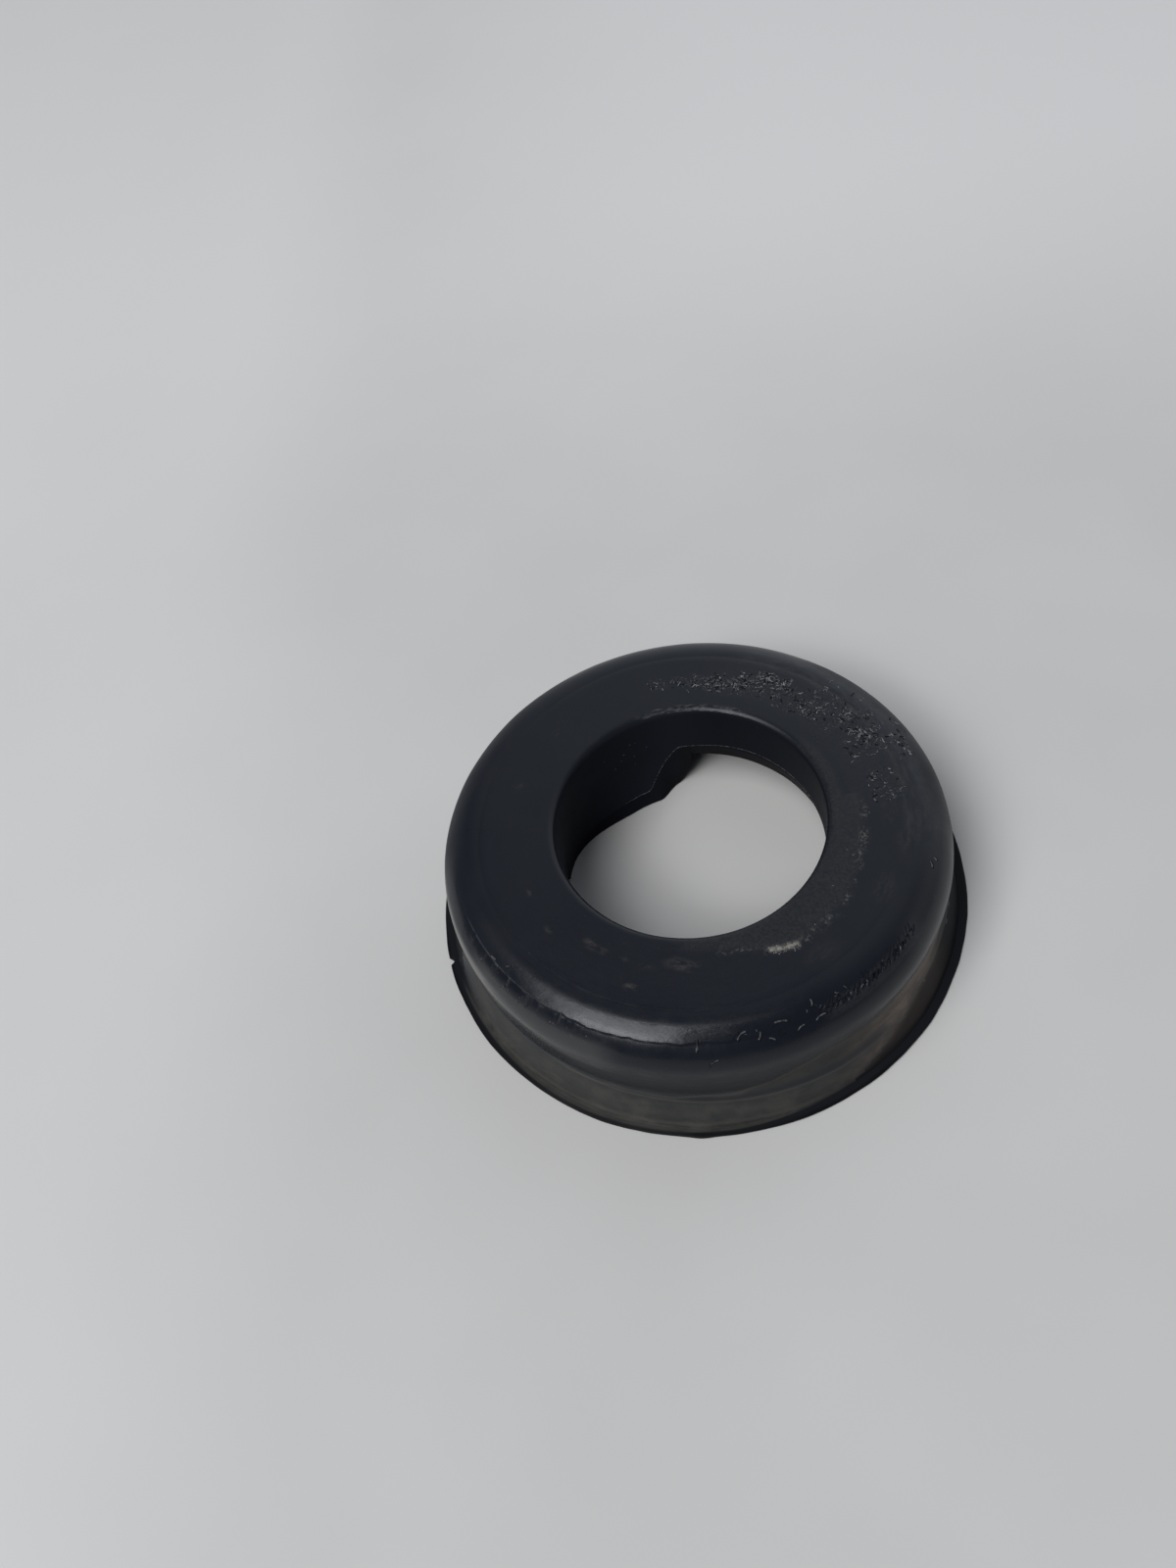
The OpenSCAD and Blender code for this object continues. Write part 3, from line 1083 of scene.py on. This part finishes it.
# %% Marks: shapes and scatter
def curl(tree, length, thickness, sweep, sides=4):
    """A torn curl: a bent sliver with tapered ends, of a few dozen faces."""
    sweep = math.radians(sweep)
    bend_r = length / sweep * MM
    bent = geo(tree, "CurveArc", {"Resolution": sides + 2, "Radius": bend_r, "Sweep Angle": sweep})
    along = Field(tree, geo(tree, "SplineParameter"))
    taper = (along * math.pi).math("SINE") * 0.8 + 0.2
    bent = geo(tree, "SetCurveRadius", {"Curve": bent, "Radius": taper})
    thread = geo(tree, "CurvePrimitiveCircle", {"Resolution": sides, "Radius": thickness / 2 * MM})
    sliver = geo(tree, "CurveToMesh", {"Curve": bent, "Profile Curve": thread, "Fill Caps": True})
    # the arc starts on +X and is centred on the origin, so its middle is brought there
    back = (-bend_r * math.cos(sweep / 2), -bend_r * math.sin(sweep / 2), 0.0)
    return geo(tree, "Transform", {"Geometry": sliver, "Translation": back})


def crumb(tree, size):
    ball = geo(tree, "MeshIcoSphere", {"Radius": size / 2 * MM, "Subdivisions": 1})
    return geo(tree, "Transform", {"Geometry": ball, "Scale": (1.0, 0.7, 0.6)})


def random_number(tree, low, high, seed):
    node = add_node(tree, "FunctionNodeRandomValue", {"Seed": seed}, data_type="FLOAT")
    node.inputs[2].default_value = low
    node.inputs[3].default_value = high
    return Field(tree, node.outputs[1])


def turned_on_itself(tree, rotation, turn):
    """A rotation followed by a turn about its own axes."""
    both = {"Rotation": rotation, "Rotate By": turn}
    node = add_node(tree, "FunctionNodeRotateRotation", both, rotation_space="LOCAL")
    return node.outputs[0]


def planted(tree, points, facing, shapes, sizes, spin, seed):
    """Put one of the shapes at each point, turned about the surface's normal, of random size."""
    kinds = add_node(tree, "GeometryNodeGeometryToInstance")
    for shape in reversed(shapes):
        tree.links.new(shape, kinds.inputs[0])
    turn = vector_of(tree, 0.0, 0.0, random_number(tree, -spin, spin, seed))
    placed = geo(tree, "InstanceOnPoints", {
        "Points": points, "Instance": kinds.outputs[0], "Pick Instance": True,
        "Instance Index": random_number(tree, 0, len(shapes) - 0.001, seed + 1).math("FLOOR"),
        "Rotation": turned_on_itself(tree, facing, turn),
        "Scale": random_number(tree, *sizes, seed + 2),
    })
    return geo(tree, "RealizeInstances", {"Geometry": placed})


def scatter(tree, surface, density, shapes, sizes, material, seed):
    """Shapes over a surface, density of them on each square millimetre."""
    node = add_node(tree, "GeometryNodeDistributePointsOnFaces", {
        "Mesh": surface, "Density": density / MM**2, "Seed": seed,
    })
    points, facing = node.outputs["Points"], node.outputs["Rotation"]
    grown = planted(tree, points, facing, shapes, sizes, math.pi, seed)
    return set_material(tree, grown, material)


marks_in = {
    "Scuffed rubber": scuffed,
    "Chipped rubber": chipped,
    "Bore rubber": bore_rubber,
    "Chalk": chalk_crumbs,
    "Scuff density": 1.0,
}
tree, pad_in, marks_out, given = geometry_tree("surface_marks", marks_in)
x, y, z = split(tree, scaled(tree, geo(tree, "InputPosition"), 1 / MM))
azimuth, radius = azimuth_of(x, y), (x * x + y * y).math("SQRT")
on_top = z.ramp(height - 3.5, height - 3.0)
print("marks tree takes:", ", ".join(marks_in))

# %% [markdown]
# Where the marks lie is a density on the surface. The torn patches are listed by their
# directions and distances, and clumps of noise break up their edges. The chips of the rough
# band, the nicks of the near side, the crumbs of the arc and a few specks in the bore follow.

# %% Marks: where they lie
# each scuffed patch on the top: its directions, its distances from the axis and its density
PATCHES = (
    (66, 75, 36.5, 41.5, 1.0), (76, 84, 38.0, 41.0, 0.9), (86, 97, 38.5, 41.0, 0.25),
    (37, 66, 38.0, 43.0, 0.62), (52, 60, 42.8, 44.6, 1.1), (14, 36, 38.5, 48.0, 0.25),
    (19, 28, 44.0, 45.4, 0.9), (21, 27, 48.0, 49.4, 0.9), (11, 17, 50.0, 52.5, 0.6),
    (357, 366, 41.0, 47.0, 0.35), (14, 42, 49.0, 54.0, 0.08), (30, 44, 43.0, 47.5, 0.2),
)
torn = on_top * 0.0
for first, last, inner, outer, amount in PATCHES:
    middle, half = (first + last) / 2, (last - first) / 2
    patch = azimuth.turned_from(middle).window(1 - half, half - 1, 4.0)
    torn = torn + patch * radius.window(inner + 0.3, outer - 0.3, 1.4) * amount
clumps = noise(tree, vector_of(tree, x, y, 0.0), 0.34, 2.0, 0.6).ramp(0.4, 0.6, 0.25, 1.5)
torn = torn * on_top * clumps * given["Scuff density"]

tilt = shoulder_tilt(radius, z)
on_shoulder = z.ramp(20, 21)
here = vector_of(tree, x, y, z)
edges = tilt.window(36, 56, 2.0) * azimuth.window(206, 240, 2.0) * on_shoulder
nicks = tilt.window(29, 42, 3.0) * azimuth.window(272, 318, 3.0) * on_shoulder
nicks = nicks * noise(tree, here, 0.5, 1.0).ramp(0.48, 0.6)
from_arc = radius - chalk_radius(azimuth)
arc_path = from_arc.peak(0.55) * on_top
beside_arc = (from_arc + 1.0).peak(2.2) * on_top * azimuth.window(296, 350, 8.0)
beside_arc = beside_arc * noise(tree, here, 0.4, 2.0).ramp(0.5, 0.64) * 0.3
in_bore = radius.ramp(bore_r + 0.4, bore_r + 0.6, 1.0, 0.0) * z.window(14.5, 24, 1.0)
bore_specks = in_bore * azimuth.window(106, 128, 4.0)
print("torn patches:", len(PATCHES))

# %% [markdown]
# Three slivers and one crumb are enough: size, turn and place make each one look its own. Dark
# slivers of the matt rubber go in among the pale curls and along the nicks, as painted shade.

# %% Marks: scuffs, chips and crumbs
slivers = [
    curl(tree, 0.95, 0.24, 100, 3), curl(tree, 0.65, 0.26, 150, 3), curl(tree, 1.1, 0.19, 40, 3),
]
small = [crumb(tree, 0.3)]
# what is strewn: its density, its shapes, their range of sizes, its material and its seed
STREWN = (
    (bore_specks * 0.07, small, (0.5, 1.1), "Scuffed rubber", 161),
    (beside_arc, small, (0.3, 0.9), "Chalk", 151),
    (torn, slivers, (0.45, 1.35), "Scuffed rubber", 11),
    (torn * 0.15, small, (0.4, 1.3), "Scuffed rubber", 21),
    # dark slivers of the matt rubber: painted shade among the torn curls and along the nicks
    (torn * 0.6, slivers, (0.5, 1.4), "Bore rubber", 101),
    (nicks * 0.7, slivers, (0.6, 1.8), "Bore rubber", 133),
    (nicks * 0.4, slivers, (0.5, 1.5), "Chipped rubber", 144),
    (edges * 0.1, slivers, (0.5, 1.2), "Chipped rubber", 51),
    (arc_path * azimuth.window(*BRIGHT_CHALK, 0.8) * 5.0, small, (0.5, 1.5), "Chalk", 61),
    (arc_path * azimuth.window(300, 350, 4.0) * 0.16, small, (0.3, 1.0), "Chalk", 71),
)
marks = [
    scatter(tree, pad_in, density, shapes, sizes, given[material], seed)
    for density, shapes, sizes, material, seed in STREWN
]
print("kinds of strewn marks:", len(marks))

# %% [markdown]
# The larger chips under the shoulder stand at places of their own, so each one is listed and
# laid there: a bent sliver, turned to lie on the curve. On the near side each has a dark sliver
# just below it, sunk deeper, for the shade under a lifted edge.

# %% Marks: single chips on the shoulder
# each mark: direction, tilt down the shoulder, length, thickness, bend and turn, where a turn
# of 0 lies along the ring and 90 points up the shoulder
HOOKS = (
    (265.3, 39.0, 2.6, 0.60, 25, 84), (274.6, 31.5, 2.4, 0.50, 60, 214),
    (278.6, 38.0, 1.6, 0.46, 30, 64), (283.6, 28.5, 2.6, 0.50, 30, 170),
    (287.2, 43.5, 1.8, 0.34, 50, 202), (292.0, 41.5, 2.4, 0.38, 40, 190),
    (291.6, 23.0, 1.4, 0.42, 60, 75), (280.9, 45.0, 1.3, 0.34, 40, 150),
    (268.2, 62.0, 2.4, 0.28, 40, 215), (217.3, 26.5, 1.2, 0.50, 60, 40),
    (212.8, 34.0, 1.5, 0.45, 30, 10), (218.8, 53.5, 2.0, 0.30, 60, 60),
    (225.7, 55.5, 2.2, 0.28, 50, 50), (232.5, 54.5, 1.6, 0.28, 50, 60),
    (338.0, 31.0, 1.5, 0.40, 60, 30), (340.0, 33.5, 1.2, 0.36, 60, 70),
)


def hook(direction, tilt_down, length, thickness, bend, turn, sunk):
    """One bent sliver that lies on the shoulder, or sunk into it by so much."""
    a, t = math.radians(direction), math.radians(tilt_down)
    normal = Vector((math.sin(t) * math.cos(a), math.sin(t) * math.sin(a), math.cos(t)))
    along = Vector((-math.sin(a), math.cos(a), 0))
    axes = Matrix((along, normal.cross(along), normal)).transposed()
    axes = axes @ Matrix.Rotation(math.radians(turn - 90), 3, "Z")
    axes = axes @ Matrix.Rotation(-math.radians(bend / 2), 3, "Z")
    level_r = shoulder[0] + (shoulder_r - sunk) * math.sin(t)
    level_z = shoulder[1] + (shoulder_r - sunk) * math.cos(t)
    place = Vector((level_r * math.cos(a), level_r * math.sin(a), level_z))
    return geo(tree, "Transform", {
        "Geometry": curl(tree, length, thickness, bend), "Translation": place * MM,
        "Rotation": axes.to_euler(),
    })


# the pale chips, then the dark slivers: first direction, how much lower, longer and thicker
# than the chip, and how deep
for material, first, lower, longer, thicker, sunk in (
    ("Chipped rubber", 0, 0.0, 1.0, 1.0, 0.0), ("Bore rubber", 266, 1.3, 1.2, 1.6, 0.2),
):
    hooks = tree.nodes.new("GeometryNodeJoinGeometry")
    for direction, tilt_down, length, thickness, bend, turn in HOOKS:
        if direction < first:
            continue
        chip = hook(
            direction + lower * 0.12, tilt_down + lower, length * longer, thickness * thicker,
            bend, turn, sunk,
        )
        tree.links.new(chip, hooks.inputs[0])
    marks.append(set_material(tree, hooks.outputs[0], given[material]))
print("single chips:", len(HOOKS))

# %% [markdown]
# On the right, two rows of dents and chips run along the shoulder at an even step. The dents
# are also darkened by slivers of the matt rubber, painted shade of their hollows, and the chips
# are pale ones. That is a rule, so a row is a line of points bent round the ring, with a little
# disorder in each.

# %% Marks: two rows of dents and chips
def shoulder_row(tree, tilt_down, first, step, count, shapes, sizes, material, seed):
    """A row of slivers along the shoulder at one tilt, slanted across it."""
    dots = geo(tree, "MeshLine", {"Count": count})
    number = Field(tree, geo(tree, "InputIndex"))
    a = (number * step + first + random_number(tree, -0.3, 0.3, seed)).math("RADIANS")
    t = random_number(tree, tilt_down - 0.8, tilt_down + 0.8, seed + 1).math("RADIANS")
    out, up = t.math("SINE"), t.math("COSINE")
    east, north = a.math("COSINE"), a.math("SINE")
    sunk_r = shoulder_r - 0.2
    r = (out * sunk_r + shoulder[0]) * MM
    place = vector_of(tree, east * r, north * r, (up * sunk_r + shoulder[1]) * MM)
    axes = {"Primary Axis": vector_of(tree, east * out, north * out, up),
            "Secondary Axis": vector_of(tree, north * -1, east, 0.0)}
    lying = add_node(
        tree, "FunctionNodeAxesToRotation", axes, primary_axis="Z", secondary_axis="X"
    ).outputs[0]
    slanted = turned_on_itself(tree, lying, vector_of(tree, 0.0, 0.0, math.radians(-60)))
    dots = geo(tree, "SetPosition", {"Geometry": dots, "Position": place})
    chain = planted(tree, dots, slanted, shapes, sizes, 0.18, seed + 3)
    return set_material(tree, chain, material)


# painted shade: dark slivers of the matt rubber that darken the dents
dent_shade_shapes = [curl(tree, 1.7, 0.62, 30), curl(tree, 1.3, 0.7, 40), curl(tree, 1.9, 0.5, 20)]
pale_shapes = [curl(tree, 0.9, 0.26, 20), curl(tree, 0.6, 0.28, 25), curl(tree, 1.2, 0.22, 15)]
for tilt_down, first, seed in ((33.5, 293.0, 71), (40.0, 293.6, 81)):
    dark = (tree, tilt_down, first, 1.4, 21, dent_shade_shapes, (0.8, 1.3), given["Bore rubber"], seed)
    pale = (tree, tilt_down + 1.2, first + 0.6, 1.65, 17, pale_shapes, (0.8, 1.5),
            given["Chipped rubber"], seed + 20)
    marks += [shoulder_row(*dark), shoulder_row(*pale)]
print("marks tree so far:", len(tree.nodes), "nodes")

# %% [markdown]
# The flash follows the parting line, which runs level round the bore and dips at the sleeve's
# free corner. Each bead is found by sending a ray out from the bore's axis to the wall.

# %% Marks: the flash line
beads = 520
first_bead, last_bead = 14.0, 122.0
row = geo(tree, "MeshLine", {"Count": beads})
step = Field(tree, geo(tree, "InputIndex")) / beads
wander = random_number(tree, -0.25, 0.25, 3)
bead_azimuth = step * (last_bead - first_bead) + first_bead + wander
bead_turn = bead_azimuth.math("RADIANS")
outwards = vector_of(tree, bead_turn.math("COSINE"), bead_turn.math("SINE"), 0.0)
bead_height = parting_height(bead_azimuth) + random_number(tree, -0.05, 0.05, 4)
ray = add_node(tree, "GeometryNodeRaycast", {
    "Target Geometry": pad_in, "Source Position": vector_of(tree, 0.0, 0.0, bead_height * MM),
    "Ray Direction": outwards, "Ray Length": 0.04,
}).outputs
row = geo(tree, "SetPosition", {"Geometry": row, "Position": ray["Hit Position"]})
out_of_wall = add_node(
    tree, "FunctionNodeAlignRotationToVector", {"Vector": ray["Hit Normal"]}
).outputs[0]
flash = planted(tree, row, out_of_wall, [crumb(tree, 0.2)], (0.4, 1.25), 0.5, 5)
flash = set_material(tree, flash, given["Scuffed rubber"])
marked = geo(
    tree, "StoreNamedAttribute",
    {"Geometry": pad_in, "Name": "torn", "Value": torn}, data_type="FLOAT", domain="POINT",
)
joined = tree.nodes.new("GeometryNodeJoinGeometry")
for part in reversed([marked, *marks, flash]):
    tree.links.new(part, joined.inputs[0])
plug(tree, joined.outputs[0], marks_out)
grow(pad, tree, marks_in)

# %% [markdown]
# ## The floor
#
# A plain pale floor, wide enough to reach past every view. It has the faint mottle of a
# painted board, and it is painted a little paler on the far side and to the left, as light
# falls there.

# %% Floor
FLOOR_DARK, FLOOR_PALE = (0.545, 0.535, 0.513), (0.575, 0.565, 0.543)
# painted light: the paler colour where more light falls on the floor
FLOOR_LIT = (0.700, 0.690, 0.670)

reach = 60 * lip_r * MM
corners = [(-reach, -reach, 0), (reach, -reach, 0), (reach, reach, 0), (-reach, reach, 0)]
floor_mesh = bpy.data.meshes.new("floor")
floor_mesh.from_pydata(corners, [], [(0, 1, 2, 3)])
floor = bpy.data.objects.new("floor", floor_mesh)
bpy.context.scene.collection.objects.link(floor)
paint, tree, surface = new_material("floor_paint")
coordinates = add_node(tree, "ShaderNodeTexCoord")
mottle = noise(tree, coordinates.outputs["Object"], 9.0, 3.0, 0.6)
across, away, _ = split(tree, coordinates.outputs["Object"])
# painted light: the floor is paler on the far side and to the left
painted_light = away.ramp(0.08, 0.35) * across.ramp(-0.2, 0.1, 0.35, 1.0)
painted_light = (painted_light + across.ramp(-0.08, -0.16) * 0.4).math("MINIMUM", 1.0)
colour = painted(tree, FLOOR_DARK, (mottle.ramp(0.3, 0.7), FLOOR_PALE), (painted_light, FLOOR_LIT))
fill("floor paint", tree, surface, {"Base Color": colour, "Roughness": 0.7})
floor_mesh.materials.append(paint)

# %% [markdown]
# ## Light
#
# Black rubber shows its shape by what it mirrors, so the light is large and soft. A window
# high on the left draws the long highlight over the shoulder. A brighter pane low in it makes
# the highlight's bright end on the near side. Each light's strength is given as its
# brightness, because that is what the rubber mirrors.

# %% Light
def soft_light(name, direction, elevation, roll, distance, size, brightness, colour):
    """An area light that faces the pad, from that direction and elevation in degrees."""
    data = bpy.data.lights.new(name, "AREA")
    data.shape = "RECTANGLE"
    data.size, data.size_y = size
    data.energy = brightness * math.pi * size[0] * size[1]
    data.color = colour
    lamp = bpy.data.objects.new(name, data)
    bpy.context.scene.collection.objects.link(lamp)
    a, e, roll = math.radians(direction), math.radians(elevation), math.radians(roll)
    away = Vector((math.cos(e) * math.cos(a), math.cos(e) * math.sin(a), math.sin(e)))
    turn = (-away).to_track_quat("-Z", "Y").to_matrix() @ Matrix.Rotation(roll, 3, "Z")
    lamp.matrix_world = Matrix.Translation(away * distance) @ turn.to_4x4()
    print(name, "energy", round(data.energy, 2), "W")


soft_light("window", 220.5, 57, 27, 3.6, (1.95, 3.0), 5.5, (0.98, 0.995, 1.02))
soft_light("bright pane", 226, 46, 10, 3.4, (1.4, 0.6), 7.0, (0.98, 0.99, 1.03))

# %% [markdown]
# The room is dim, with a brighter wall across from the window. The world gives both: a dark
# bluish colour all round, and a glow that falls off with the angle from that wall. Seen
# directly, the room is a plain pale backdrop.

# %% Room
ROOM, GLOW = (0.105, 0.113, 0.135), (0.79, 0.84, 0.91)
BACKDROP = (0.56, 0.56, 0.56)

world = bpy.data.worlds.new("room")
world.use_nodes = True
bpy.context.scene.world = world
tree = world.node_tree
a, e = math.radians(62), math.radians(22)  # the direction and elevation of the brighter wall
glow_direction = (math.cos(e) * math.cos(a), math.cos(e) * math.sin(a), math.sin(e))
looking = add_node(tree, "ShaderNodeTexCoord").outputs["Generated"]
nearness = add_node(tree, "ShaderNodeVectorMath", operation="DOT_PRODUCT")
plug(tree, looking, nearness.inputs[0])
plug(tree, glow_direction, nearness.inputs[1])
angle = Field(tree, nearness.outputs["Value"]).math("ARCCOSINE").math("DEGREES")
seen = add_node(tree, "ShaderNodeLightPath").outputs["Is Camera Ray"]
colour = painted(tree, ROOM, (angle.ramp(66, 12), GLOW), (seen, BACKDROP))
fill("room", tree, tree.nodes["Background"].inputs, {"Color": colour, "Strength": 1.0})
bpy.context.scene.view_settings.view_transform = "Standard"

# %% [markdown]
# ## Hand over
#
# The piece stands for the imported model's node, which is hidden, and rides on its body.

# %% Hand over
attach(pad, "root")
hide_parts("spring_pad")
